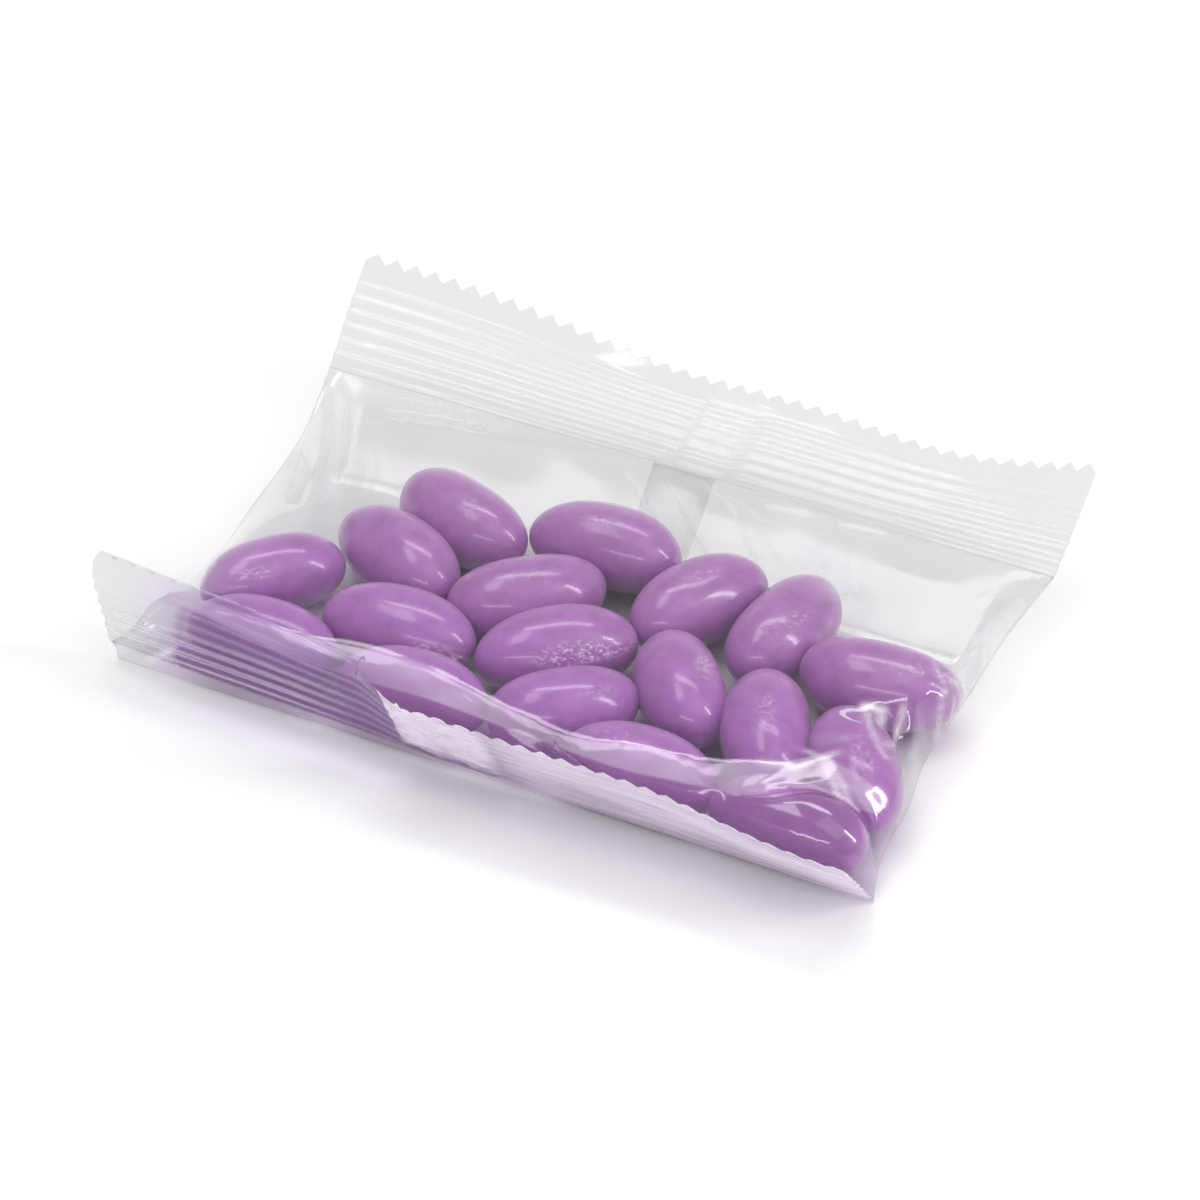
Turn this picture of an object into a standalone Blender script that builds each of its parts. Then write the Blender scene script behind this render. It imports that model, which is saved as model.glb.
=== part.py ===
"""Small sealed bag of clear film, filled with jelly beans and lying on its back.

The bag is one piece of film, so it is one closed solid out to the film's outer face.
X runs along the two crimped seals, Y from the near seal to the far one, Z up.
The origin is under the middle of the bag's box, on the surface that it lies on.
"""

import math

import bmesh
import bpy

# ---- driving sizes, in metres and radians ------------------------------------------------
WIDTH = 0.100              # flat width of the film tube, which is also the seals' length
DEPTH = 0.0555             # near fold line to the far seal's inner line, along the table
SIDE_PULL = 0.0022         # how far the filling draws each long side in
CRIMP_LENGTH = 0.0146      # inner line to the roots of the teeth
CRIMP_THICKNESS = 0.0006
RIBS = 8                   # ribs that the sealing jaws press along each crimp
RIB_DEPTH = 0.00022
TEETH = 38                 # zigzag teeth along each cut edge
TOOTH_HEIGHT = 0.0013

FAR_SEAL_HEIGHT = 0.0075   # the far seal's inner line hangs this high over the table
FAR_SEAL_LOW_X = 0.020     # the far seal rises least here and curls up towards its ends
FAR_SEAL_LEAST_RISE = math.radians(8)
FAR_SEAL_LEFT_RISE = math.radians(46)
FAR_SEAL_RIGHT_RISE = math.radians(27)

NEAR_SEAL_LEFT_RISE = math.radians(87)   # the near seal is folded up: upright at the left end
NEAR_SEAL_RIGHT_RISE = math.radians(49)  # and leaning out from the bag at the right end
NEAR_SEAL_SKIRT = 0.0028   # plain film between the fold and the crimp, from the right end to the left
CURL_LENGTH = 0.0030       # the strip along the left half's cut edge that curls back
CURL_RADIUS = 0.0015
CURL_END_X = -0.010        # the curl fades out here

FILM_HEIGHT = 0.0080       # top film where nothing but air is under it
BEAN_HEIGHT = 0.0115       # top film where it lies on the beans
LUMP_HEIGHT = 0.0010       # how far each bean stands out of the film between them
SIDE_HEIGHT = 0.0034       # height of the rounded fold along each long side
WALL_CORNER = 0.0070       # depth of the rounded front edge of the top film
WALL_MIDDLE_Y = -0.0014    # the front wall half-way along: beans push it out over the fold line
WALL_SKEW = -0.048         # and further out to the right, as a slope of Y over X

BEAN_LENGTH = 0.0195
BEAN_WIDTH = 0.0108

# ---- the beans under the film: centre in mm from the middle of the near fold line, and ----
# ---- the heading of the long axis in degrees, anticlockwise from +X ---------------------
BEANS = (
    (-37.4, 17.0, 48), (-24.9, 26.7, -24), (-21.2, 36.8, -19), (-2.8, 39.6, 4),
    (-7.2, 26.6, 40), (-18.4, 14.4, 3), (-11.5, 4.8, 3), (0.4, 19.1, 38),
    (12.0, 34.4, 61), (23.5, 34.4, 82), (37.9, 30.1, 6), (17.0, 19.0, 128),
    (29.4, 16.2, 116), (5.9, 9.7, 40), (18.8, 3.6, -1), (41.3, 14.9, 126),
    (38.2, 2.5, -3), (-32.3, 5.6, 2),
)

# ---- mesh density ------------------------------------------------------------------------
BODY_ROWS = 24
WALL_ROWS = 7              # body rows that climb the front wall
CRIMP_ROWS = 2 * RIBS      # a ridge and a groove for each rib

FILM_COLOUR = (0.86, 0.86, 0.88, 1.0)


def smooth(value, low, high):
    """0 below low, 1 above high and an even S between them."""
    t = min(max((value - low) / (high - low), 0.0), 1.0)
    return t * t * (3 - 2 * t)


def remove_everything():
    for obj in list(bpy.data.objects):
        bpy.data.objects.remove(obj, do_unlink=True)


def film_material():
    material = bpy.data.materials.new("clear_film")
    material.use_nodes = True
    shader = material.node_tree.nodes["Principled BSDF"]
    shader.inputs["Base Color"].default_value = FILM_COLOUR
    shader.inputs["Roughness"].default_value = 0.12
    shader.inputs["Metallic"].default_value = 0.0
    return material


# ---- where the film lies -----------------------------------------------------------------
def half_width(along):
    """Half the bag's width at a share of its depth: full at the seals, drawn in between."""
    drawn_in = smooth(along, 0.0, 0.12) * (1 - smooth(along, 0.86, 1.0))
    return WIDTH / 2 - SIDE_PULL * drawn_in


def bean_cover(x, y):
    """How much the beans hold the film up here, and how near this is to a bean's crest."""
    bare = 1.0
    crest = 0.0
    for bean_x, bean_y, heading in BEANS:
        dx = x - bean_x / 1000
        dy = y - bean_y / 1000
        turn = math.radians(heading)
        p = (dx * math.cos(turn) + dy * math.sin(turn)) / (BEAN_LENGTH / 2)
        q = (dy * math.cos(turn) - dx * math.sin(turn)) / (BEAN_WIDTH / 2)
        bare *= 1 - math.exp(-(p * p + q * q) / 1.7)
        crest = max(crest, math.exp(-1.3 * (p * p + q * q)))
    return 1 - bare, crest


def top_height(x, y, across):
    """Height of the top film behind the front wall."""
    cover, crest = bean_cover(x, y)
    peak = FILM_HEIGHT + (BEAN_HEIGHT - FILM_HEIGHT) * cover + LUMP_HEIGHT * (crest - 0.6)
    side_drop = math.sqrt(max(0.0, 1 - abs(across) ** 7))
    height = SIDE_HEIGHT + (peak - SIDE_HEIGHT) * side_drop
    slope = smooth(y, 0.74 * DEPTH, DEPTH)
    return height + (FAR_SEAL_HEIGHT + CRIMP_THICKNESS / 2 - height) * slope


def bottom_height(x, y, across):
    """Height of the bottom film: flat on the table, turned up at the sides and the far end."""
    side_lift = SIDE_HEIGHT * max(0.0, (abs(across) - 0.9) / 0.1) ** 2
    height = max(0.0, side_lift - 0.0003)
    height *= smooth(y, 0.0, 0.08 * DEPTH)
    slope = max(0.0, (y / DEPTH - 0.74) / 0.26) ** 1.5
    return height + (FAR_SEAL_HEIGHT - CRIMP_THICKNESS / 2 - height) * slope


def body_point(across, row, top):
    """A point of the film between the seals. row runs from 0 at the near fold to 1."""
    wall_share = WALL_ROWS / BODY_ROWS
    behind = max(0.0, (row - wall_share) / (1 - wall_share))
    y_top = WALL_CORNER + (DEPTH - WALL_CORNER) * behind
    if not top:
        y = DEPTH * row
        x = across * half_width(row)
        return x, y, bottom_height(x, y, across)
    if row >= wall_share:
        x = across * half_width(y_top / DEPTH)
        return x, y_top, top_height(x, y_top, across)
    turn = row / wall_share * math.pi / 2
    x = across * half_width(WALL_CORNER * (1 - math.cos(turn)) / DEPTH)
    front = WALL_MIDDLE_Y + WALL_SKEW * x
    y = front * smooth(turn, 0.0, 0.5) + (WALL_CORNER - front) * (1 - math.cos(turn) ** 0.62)
    rim = top_height(x, WALL_CORNER, across)
    z = CRIMP_THICKNESS + (rim - CRIMP_THICKNESS) * math.sin(turn) ** 0.8
    return x, y, z


def layer_offset(row, top):
    """Half the crimp's thickness to this face, with the zigzag of the ribs between its ends."""
    rib = 0.0 if row < 1 or row > CRIMP_ROWS - 2 else RIB_DEPTH * (1 if row % 2 else -1)
    return rib + (CRIMP_THICKNESS / 2 if top else -CRIMP_THICKNESS / 2)


def near_seal_point(across, row, top):
    """A point of the near seal, which is folded up in front of the bag."""
    x = across * WIDTH / 2
    from_left = (across + 1) / 2
    angle = NEAR_SEAL_LEFT_RISE + (NEAR_SEAL_RIGHT_RISE - NEAR_SEAL_LEFT_RISE) * from_left
    length = CRIMP_LENGTH + NEAR_SEAL_SKIRT * (1 - from_left)
    curled = 1 - smooth(x, CURL_END_X - 0.015, CURL_END_X)
    distance = length * row / CRIMP_ROWS
    straight = min(distance, length - CURL_LENGTH * curled + 0.01 * (1 - curled))
    bend = (distance - straight) / CURL_RADIUS
    facing = angle + bend
    y = -straight * math.cos(angle) + CURL_RADIUS * (math.sin(angle) - math.sin(facing))
    z = straight * math.sin(angle) + CURL_RADIUS * (math.cos(angle) - math.cos(facing))
    shift = layer_offset(row, top)
    y += shift * math.sin(facing)
    z += shift * math.cos(facing) + CRIMP_THICKNESS / 2 * math.cos(angle)
    return x, y, z


def far_seal_point(across, row, top):
    """A point of the far seal, which rises from its inner line behind the bag."""
    x = across * WIDTH / 2
    end, rise = (-WIDTH / 2, FAR_SEAL_LEFT_RISE)
    if x > FAR_SEAL_LOW_X:
        end, rise = (WIDTH / 2, FAR_SEAL_RIGHT_RISE)
    share = (x - FAR_SEAL_LOW_X) / (end - FAR_SEAL_LOW_X)
    angle = FAR_SEAL_LEAST_RISE + (rise - FAR_SEAL_LEAST_RISE) * share ** 2
    distance = CRIMP_LENGTH * row / CRIMP_ROWS
    shift = layer_offset(row, top)
    y = DEPTH + distance * math.cos(angle) - shift * math.sin(angle)
    z = FAR_SEAL_HEIGHT + distance * math.sin(angle) + shift * math.cos(angle)
    return x, y, z


def bag_point(across, row, top):
    """row is below 0 on the near seal, 0 to BODY_ROWS on the bag and above on the far seal."""
    if row < 0:
        return near_seal_point(across, -row, top)
    if row > BODY_ROWS:
        return far_seal_point(across, row - BODY_ROWS, top)
    return body_point(across, row / BODY_ROWS, top)


# ---- the solid ---------------------------------------------------------------------------
def flat_film(bm):
    """A flat grid of film: x is across, from -1 to 1, and y counts rows."""
    first, last = -CRIMP_ROWS, BODY_ROWS + CRIMP_ROWS
    rows = last - first
    bmesh.ops.create_grid(bm, x_segments=TEETH, y_segments=rows, size=1)
    for vert in bm.verts:
        vert.co.y = round((vert.co.y + 1) / 2 * rows + first)
    return first, last


def cut_teeth(bm, first, last):
    """Halve the edges along both cut ends and push each new point out into a tooth."""
    reach = TOOTH_HEIGHT / CRIMP_LENGTH * CRIMP_ROWS
    for end, way in ((first, -1), (last, 1)):
        edges = [edge for edge in bm.edges if all(vert.co.y == end for vert in edge.verts)]
        halves = bmesh.ops.subdivide_edges(bm, edges=edges, cuts=1)
        for part in halves["geom_inner"]:
            if isinstance(part, bmesh.types.BMVert):
                part.co.y = end + way * reach


def build_bag(collection):
    bm = bmesh.new()
    first, last = flat_film(bm)
    cut_teeth(bm, first, last)
    layer = bmesh.ops.extrude_face_region(bm, geom=bm.faces[:], use_keep_orig=True)
    top_verts = {part for part in layer["geom"] if isinstance(part, bmesh.types.BMVert)}
    for vert in bm.verts:
        vert.co = bag_point(vert.co.x, vert.co.y, vert in top_verts)
    bmesh.ops.triangulate(bm, faces=bm.faces[:])
    bmesh.ops.recalc_face_normals(bm, faces=bm.faces[:])
    for axis in (0, 1):
        places = [vert.co[axis] for vert in bm.verts]
        middle = (min(places) + max(places)) / 2
        for vert in bm.verts:
            vert.co[axis] -= middle
    mesh = bpy.data.meshes.new("bag")
    bm.to_mesh(mesh)
    bm.free()
    mesh.shade_smooth()
    mesh.set_sharp_from_angle(angle=math.radians(35))
    mesh.materials.append(film_material())
    bag = bpy.data.objects.new("bag", mesh)
    collection.objects.link(bag)
    return bag


def main():
    remove_everything()
    collection = bpy.data.collections.new("jelly_bean_bag")
    bpy.context.scene.collection.children.link(collection)
    build_bag(collection)


main()
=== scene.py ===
"""Looks of the small clear bag of jelly beans: the film, its seals and the beans in it.

Lengths are in mm, measured from the middle of the near fold line, where the near seal is
folded up: X to the right, Y to the far seal, Z up. to_frame() moves a point to the frame.
"""

import math

import bmesh
import bpy
import numpy as np
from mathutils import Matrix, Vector


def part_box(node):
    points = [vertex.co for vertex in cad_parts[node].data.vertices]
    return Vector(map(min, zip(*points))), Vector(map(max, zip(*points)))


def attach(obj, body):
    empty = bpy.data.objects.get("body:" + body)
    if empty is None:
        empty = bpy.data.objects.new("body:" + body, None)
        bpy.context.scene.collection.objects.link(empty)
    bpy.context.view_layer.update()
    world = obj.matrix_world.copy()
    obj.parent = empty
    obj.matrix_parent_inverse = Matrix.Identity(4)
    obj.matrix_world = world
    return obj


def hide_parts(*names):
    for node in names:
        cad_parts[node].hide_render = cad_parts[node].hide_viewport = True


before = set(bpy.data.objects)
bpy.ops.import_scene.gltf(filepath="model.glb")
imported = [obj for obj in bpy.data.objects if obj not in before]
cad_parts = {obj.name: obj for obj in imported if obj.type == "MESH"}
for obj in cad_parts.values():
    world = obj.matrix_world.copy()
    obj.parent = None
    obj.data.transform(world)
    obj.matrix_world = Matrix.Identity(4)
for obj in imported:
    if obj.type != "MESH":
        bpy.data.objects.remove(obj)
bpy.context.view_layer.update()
bag_low, bag_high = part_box("bag")

# ---- sizes, in mm and degrees ----------------------------------------------------------
HALF = 50.0                # half the length of the seals
DEPTH = 55.5               # near fold line to the far seal's inner line
NEAR_REACH = 10.55         # how far the near seal leans out past the fold line
CRIMP_LENGTH = 14.6
RIBS = 7.6
RIB_HEIGHT = 0.17
TEETH = 38
TOOTH_HEIGHT = 1.3
FAR_HEIGHT = 7.5           # the far seal's inner line over the table
FAR_FROM = 0.76            # share of the depth where the film starts to run to the far seal
FILM = 0.07                # half the gap between the two layers of a seal
FOLD_Y = bag_low.y * 1000 + NEAR_REACH

# ---- the beans: x, y, heading of the long axis, length, width, bend --------------------
BEANS = (
    (-37.4, 17.0, 48, 18.6, 10.1, 0.5), (-24.9, 26.7, -24, 19.5, 10.8, 0.6),
    (-21.2, 36.8, -19, 19.6, 10.8, -0.5), (-2.8, 39.6, 4, 19.7, 10.8, 0.7),
    (-7.2, 26.6, 40, 19.8, 10.8, -0.6), (-18.4, 14.4, 3, 19.8, 10.7, 0.6),
    (-11.5, 4.8, 3, 18.9, 10.6, 0.4), (0.4, 19.1, 38, 20.0, 10.8, 0.5),
    (12.0, 34.4, 61, 19.2, 10.8, 0.6), (23.5, 34.4, 82, 19.5, 10.8, -0.4),
    (37.9, 30.1, 6, 20.0, 10.8, -0.7), (17.0, 19.0, 128, 18.3, 10.7, 0.5),
    (29.4, 16.2, 116, 19.5, 10.7, 0.4), (5.9, 9.7, 40, 18.5, 10.6, -0.5),
    (18.8, 3.6, -1, 19.7, 10.7, 0.6), (41.3, 14.9, 126, 19.3, 10.6, 0.5),
    (38.2, 2.5, -3, 19.6, 10.6, 0.5), (-32.3, 5.6, 2, 19.5, 10.6, 0.4),
)
BEAN_FLATNESS = 0.96       # height over width
BEAN_BLUNTNESS = 2.35      # 2 is an egg shape, and more is blunter
FATTER_END = 0.03
BEAN_DENTS = 0.012
BEAN_FOOT = 0.12           # gap under a bean, for the bottom film


# ---- helpers ---------------------------------------------------------------------------
def to_frame(points):
    """mm from the near fold line to metres in the frame."""
    moved = np.array(points, float)
    moved[..., 1] += FOLD_Y
    return moved / 1000


def smooth(value, low, high):
    """0 below low, 1 above high and an even S between them."""
    t = np.clip((value - low) / (high - low), 0, 1)
    return t * t * (3 - 2 * t)


def bump_at(value, centre, half):
    """1 at centre, 0 from half away on."""
    return 1 - smooth(np.abs(value - centre), 0, half)


def through(points, at):
    """A smooth curve through (place, value...) rows, read at the places given."""
    points = np.array(points, float)
    knots, values = points[:, 0], points[:, 1:]
    slopes = np.gradient(values, knots, axis=0)
    at = np.clip(at, knots[0], knots[-1])
    k = np.clip(np.searchsorted(knots, at) - 1, 0, len(knots) - 2)
    span = (knots[k + 1] - knots[k])
    t = (at - knots[k]) / span
    t, span = t[..., None], span[..., None]
    h00 = 2 * t ** 3 - 3 * t ** 2 + 1
    h10 = t ** 3 - 2 * t ** 2 + t
    h01 = 3 * t ** 2 - 2 * t ** 3
    h11 = t ** 3 - t ** 2
    return h00 * values[k] + h10 * span * slopes[k] + h01 * values[k + 1] + h11 * span * slopes[k + 1]


def noise(points, scale, seed):
    """Smooth value noise from -1 to 1 for rows of points, one lattice cell each scale mm."""
    points = np.array(points, float) / scale
    base = np.floor(points).astype(np.int64)
    part = points - base
    part = part * part * (3 - 2 * part)
    total = np.zeros(points.shape[:-1])
    size = points.shape[-1]
    for corner in range(2 ** size):
        weight = np.ones(points.shape[:-1])
        key = np.full(points.shape[:-1], seed * 7919, np.int64)
        for axis in range(size):
            bit = corner >> axis & 1
            weight = weight * (part[..., axis] if bit else 1 - part[..., axis])
            key = key * 73856093 ^ (base[..., axis] + bit) * (19349663 + 83492791 * axis)
        key = (key ^ key >> 13) * 1274126177
        total += weight * ((key ^ key >> 16) % 65536 / 32767.5 - 1)
    return total


def new_object(name, verts, faces, material, attributes=None):
    """A smooth mesh from points in mm, with one number at each point for each attribute."""
    mesh = bpy.data.meshes.new(name)
    mesh.from_pydata(to_frame(verts).tolist(), [], faces)
    for key, values in (attributes or {}).items():
        layer = mesh.attributes.new(key, "FLOAT", "POINT")
        layer.data.foreach_set("value", np.asarray(values, np.float32).ravel())
    mesh.shade_smooth()
    mesh.materials.append(material)
    obj = bpy.data.objects.new(name, mesh)
    bpy.context.scene.collection.objects.link(obj)
    return obj


def tidy_mesh(obj):
    """Joins points in one place and turns all faces outwards."""
    bm = bmesh.new()
    bm.from_mesh(obj.data)
    bmesh.ops.remove_doubles(bm, verts=bm.verts[:], dist=2e-7)
    bmesh.ops.dissolve_degenerate(bm, edges=bm.edges[:], dist=1e-8)
    bmesh.ops.recalc_face_normals(bm, faces=bm.faces[:])
    bm.to_mesh(obj.data)
    bm.free()


def grid_faces(rows, columns, start=0, flip=False):
    """Quads of a rows x columns grid of vertices, numbered row by row from start."""
    j, i = np.meshgrid(np.arange(rows - 1), np.arange(columns - 1), indexing="ij")
    a = (start + j * columns + i).ravel()
    quads = np.stack([a, a + 1, a + columns + 1, a + columns], -1)
    return (quads[:, ::-1] if flip else quads).tolist()


# ---- where the seals and the sides lie -------------------------------------------------
NEAR_FOOT = 0.1            # height of the near fold line
SKIRT = 2.8
NEAR_RISE = 87.5           # degrees, at the seal's left end
LEFT_LEAN = 14.0           # lost evenly along the left part
SEAM_LEAN = 13.0           # lost where the thick seam crosses the seal
RIGHT_LEAN = 7.5           # lost towards the right end
CURL_START = 13.8          # the near seal is straight up to here and then curls over
CURL_EARLIER = 1.1         # how much sooner it curls next to the thick seam
NO_CURL = 20.0             # added where the seal stays straight
CURL_RADIUS = 1.5
END_SLIP = 0.13            # how far the left end leans along the seal, for each mm of height


def near_rise(x):
    """How steeply the near seal stands: upright at the left end, leaning out at the right."""
    lean = LEFT_LEAN * np.clip((x + 52) / 36, 0, 1)
    lean = lean + SEAM_LEAN * smooth(x, -16, -6) + RIGHT_LEAN * smooth(x, 22, 46)
    return np.radians(NEAR_RISE - lean)


def near_skirt(x):
    """Plain film between the fold line and the near crimp, widest at the left end."""
    return SKIRT * (0.5 - x / (2 * HALF))


def no_skirt(x):
    """The far crimp starts right at the film's edge."""
    return 0 * x


def near_seal_at(x, s):
    """Point and inward normal of the near seal at distance s up from the fold line."""
    angle = near_rise(x)
    curled = 1 - smooth(x, -15, -9)
    upright = CURL_START - CURL_EARLIER * smooth(x, -27, -16) + NO_CURL * (1 - curled)
    straight = np.minimum(s, upright)
    bend = (s - straight) / CURL_RADIUS
    facing = angle + bend
    y = -straight * np.cos(angle) + CURL_RADIUS * (np.sin(angle) - np.sin(facing))
    z = straight * np.sin(angle) + CURL_RADIUS * (np.cos(angle) - np.cos(facing))
    normal = np.stack([0 * x, np.sin(facing), np.cos(facing)], -1)
    slip = -END_SLIP * np.minimum(s, 12) * smooth(-x, 30, 50)
    return np.stack([x + slip, y, z + NEAR_FOOT], -1), normal


FAR_RISE = 8.0             # degrees, where the far seal rises least
FAR_LOW_AT = 20.0          # and the place of it along the seal
LEFT_RISE = 38.0           # more at the left end
RIGHT_RISE = 19.0          # more at the right end
FAR_WAVE = 3.0             # degrees of waviness towards the cut edge


def far_rise(x):
    """How steeply the far seal rises from its inner line."""
    left = LEFT_RISE * (np.clip(FAR_LOW_AT - x, 0, None) / (HALF + FAR_LOW_AT)) ** 2
    right = RIGHT_RISE * (np.clip(x - FAR_LOW_AT, 0, None) / (HALF - FAR_LOW_AT)) ** 2
    return np.radians(FAR_RISE + left + right)


def far_seal_at(x, s):
    """Point and upward normal of the far seal at distance s from its inner line."""
    angle = far_rise(x) + np.radians(FAR_WAVE) * np.sin(x / 7.0) * smooth(s, 4, 15)
    point = np.stack([x, DEPTH + s * np.cos(angle), FAR_HEIGHT + s * np.sin(angle)], -1)
    normal = np.stack([0 * x, -np.sin(angle), np.cos(angle)], -1)
    return point, normal


# The folds of the two long sides: y, x, z.
LEFT_SIDE = ((0.0, -50.0, 2.6), (6.0, -47.9, 3.4), (17.0, -46.4, 3.7), (30.0, -47.3, 3.9),
             (44.0, -47.9, 5.2), (55.5, -50.0, 7.5))
RIGHT_SIDE = ((0.0, 50.0, 0.4), (5.0, 48.8, 2.6), (11.0, 49.1, 3.9), (20.0, 47.7, 4.2),
              (33.0, 47.8, 4.3), (44.0, 48.1, 5.3), (55.5, 50.0, 7.5))


# ---- beans -----------------------------------------------------------------------------
def bean_shape(length, width, bend, seed, around=64, along=44):
    """Rows of points on a plump bean: blunt ends, one a little fatter, bowed along its length."""
    theta = np.linspace(0, math.pi, along)
    phi = np.linspace(0, 2 * math.pi, around, endpoint=False)
    T, F = np.meshgrid(theta, phi, indexing="ij")
    p = np.cos(T)
    ring = (1 - np.abs(p) ** BEAN_BLUNTNESS) ** 0.5 * (1 + FATTER_END * p * np.sign(bend))
    x = p * length / 2
    y = ring * np.cos(F) * width / 2 + bend * (0.5 - p * p)
    z = ring * np.sin(F) * width / 2 * BEAN_FLATNESS
    points = np.stack([x, y, z], -1)
    points *= 1 + BEAN_DENTS * noise(points, 6.0, seed)[..., None]
    return points


def bean_place(bean):
    """Rotation and centre of a bean that lies on the bottom film."""
    x, y, heading, _, width, _ = bean
    c, s = math.cos(math.radians(heading)), math.sin(math.radians(heading))
    return np.array([[c, -s, 0], [s, c, 0], [0, 0, 1]]), np.array([x, y, 0.2 + width / 2 * BEAN_FLATNESS])


def make_beans(material):
    """All beans, as one piece."""
    verts, faces = [], []
    for k, bean in enumerate(BEANS):
        points = bean_shape(bean[3], bean[4], bean[5], k)
        turn, centre = bean_place(bean)
        rows, columns = points.shape[:2]
        start = len(verts)
        placed = points.reshape(-1, 3) @ turn.T + centre
        placed[:, 2] -= placed[:, 2].min() - BEAN_FOOT
        verts.extend(placed)
        for j in range(rows - 1):
            for i in range(columns):
                a, b = start + j * columns + i, start + j * columns + (i + 1) % columns
                faces.append((a, a + columns, b + columns, b))
    beans = new_object("beans", np.array(verts), faces, material)
    tidy_mesh(beans)
    return beans


# ---- relaxing the film over the beans --------------------------------------------------
# The sharp fold at the top of the front wall, from the left side to the right side.
FRONT_FOLD = ((-49.0, 2.6, 2.9), (-46.8, 3.6, 6.2), (-43.6, 2.8, 9.0), (-38.9, 1.5, 10.4), (-33.0, 0.7, 10.2),
              (-28.1, 0.2, 10.0), (-20.3, -0.1, 9.5), (-13.0, 0.4, 9.15), (-7.0, 0.3, 9.5), (-1.7, -0.3, 9.8),
              (4.0, -1.0, 10.0), (9.8, -1.2, 9.9), (14.5, -1.5, 9.9), (19.6, -1.0, 9.4), (24.5, -0.5, 9.55),
              (29.4, 0.1, 9.6), (35.6, 1.6, 8.7), (41.0, 4.0, 8.6), (45.2, 3.9, 5.9), (48.4, 3.4, 3.0))
# The crest behind it: between the two the film is a bevel that catches the light.
CREST = ((-44.2, 4.4, 9.4), (-38.9, 2.9, 11.1), (-33.0, 2.5, 11.2), (-28.1, 2.2, 11.2), (-20.3, 2.6, 11.2),
         (-13.0, 3.6, 11.2), (-7.0, 2.9, 11.3), (-1.7, 1.8, 11.2), (4.0, 0.7, 11.0), (9.8, -0.4, 10.5),
         (14.5, 0.3, 10.9), (19.6, 1.5, 11.2), (24.5, 1.9, 11.2), (28.0, 2.0, 10.9), (31.0, 3.6, 11.3),
         (35.6, 5.4, 11.5), (39.6, 8.4, 11.8))
# Old folds hold the film up along these lines, each a run of points.
RIDGES = (
    CREST,
    ((39.6, 8.4, 11.8), (42.6, 14.0, 11.4)),
    ((39.6, 8.4, 11.8), (44.0, 6.4, 8.4), (48.0, 4.4, 3.8)),
    ((40.3, 17.5, 11.2), (44.5, 20.8, 11.6), (46.7, 25.5, 10.3), (45.6, 33.8, 10.6), (46.6, 38.5, 9.6),
     (47.8, 48.0, 8.6)),
    ((-43.9, 42.5, 8.4), (-42.6, 40.1, 9.0), (-38.6, 29.9, 9.8), (-36.4, 24.2, 10.6)),
    ((-41.9, 45.0, 8.6), (-38.6, 37.9, 9.4), (-35.2, 28.5, 10.4), (-31.2, 22.9, 11.4)),
)
# Here a fold dips and holds the film down.
VALLEYS = (
    ((42.6, 18.6, 9.6), (45.2, 16.0, 8.6)),
    ((-46.0, 40.0, 6.0), (-41.0, 34.0, 7.9), (-39.2, 27.0, 8.6)),
)


def pull(P, free, a, b, rest, long_share, short_share):
    """Moves each pair of points a, b towards its rest distance, or apart to it."""
    gap = P[b] - P[a]
    length = np.sqrt((gap * gap).sum(-1)) + 1e-9
    off = length - rest
    share = np.where(off > 0, long_share, short_share) * off / length
    wa, wb = free[a], free[b]
    total = np.maximum(wa + wb, 1e-9)
    P[a] += gap * (share * wa / total)[..., None]
    P[b] -= gap * (share * wb / total)[..., None]


def pairs(shape):
    """Slices for neighbours along, across and on both diagonals, in sets that hardly touch."""
    rows, columns = shape
    sets = []
    for first in (0, 1):
        n = (columns - 1 - first + 1) // 2
        sets.append(("across", (slice(None), slice(first, first + 2 * n, 2)),
                     (slice(None), slice(first + 1, first + 2 * n + 1, 2))))
        n = (rows - 1 - first + 1) // 2
        sets.append(("along", (slice(first, first + 2 * n, 2), slice(None)),
                     (slice(first + 1, first + 2 * n + 1, 2), slice(None))))
    for first in (0, 1):
        n = (columns - 1 - first + 1) // 2
        left = slice(first, first + 2 * n, 2)
        right = slice(first + 1, first + 2 * n + 1, 2)
        sets.append(("diagonal", (slice(0, rows - 1), left), (slice(1, rows), right)))
        sets.append(("diagonal", (slice(1, rows), left), (slice(0, rows - 1), right)))
    return sets


def upsample(P):
    """Twice as many cells each way, on a smooth surface through the same points."""
    for axis in (0, 1):
        Q = np.moveaxis(P, axis, 0)
        n = len(Q)
        before = np.concatenate([2 * Q[:1] - Q[1:2], Q[:-2]])
        after = np.concatenate([Q[2:], 2 * Q[-1:] - Q[-2:-1]])
        middle = (9 * (Q[:-1] + Q[1:]) - before - after) / 16
        R = np.empty((2 * n - 1,) + Q.shape[1:])
        R[::2] = Q
        R[1::2] = middle
        P = np.moveaxis(R, 0, axis)
    return np.ascontiguousarray(P)


class Beans:
    """Pushes points out of the beans, each with a little room round it."""

    def __init__(self, room):
        self.list = []
        for bean in BEANS:
            turn, centre = bean_place(bean)
            half = np.array([bean[3], bean[4], bean[4] * BEAN_FLATNESS]) / 2 + room
            self.list.append((turn, centre, half, bean[5]))

    def push(self, P, free):
        flat = P.reshape(-1, 3)
        for turn, centre, half, bend in self.list:
            reach = half.max() + 0.5
            near = np.nonzero((np.abs(flat - centre) < reach).all(1) & free)[0]
            local = (flat[near] - centre) @ turn
            part = local / half
            part[:, 1] -= bend * (0.5 - part[:, 0] ** 2) / half[1]
            ring = part[:, 1] ** 2 + part[:, 2] ** 2
            depth = np.abs(part[:, 0]) ** BEAN_BLUNTNESS + ring
            inside = depth < 1
            near, part, depth = near[inside], part[inside], depth[inside]
            slope = 2 * part / half
            size = np.sqrt((slope ** 2).sum(1)) + 1e-3
            move = np.minimum((1 - depth) / size, 1.0)
            flat[near] += (slope / size[:, None] * move[:, None]) @ turn.T


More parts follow.
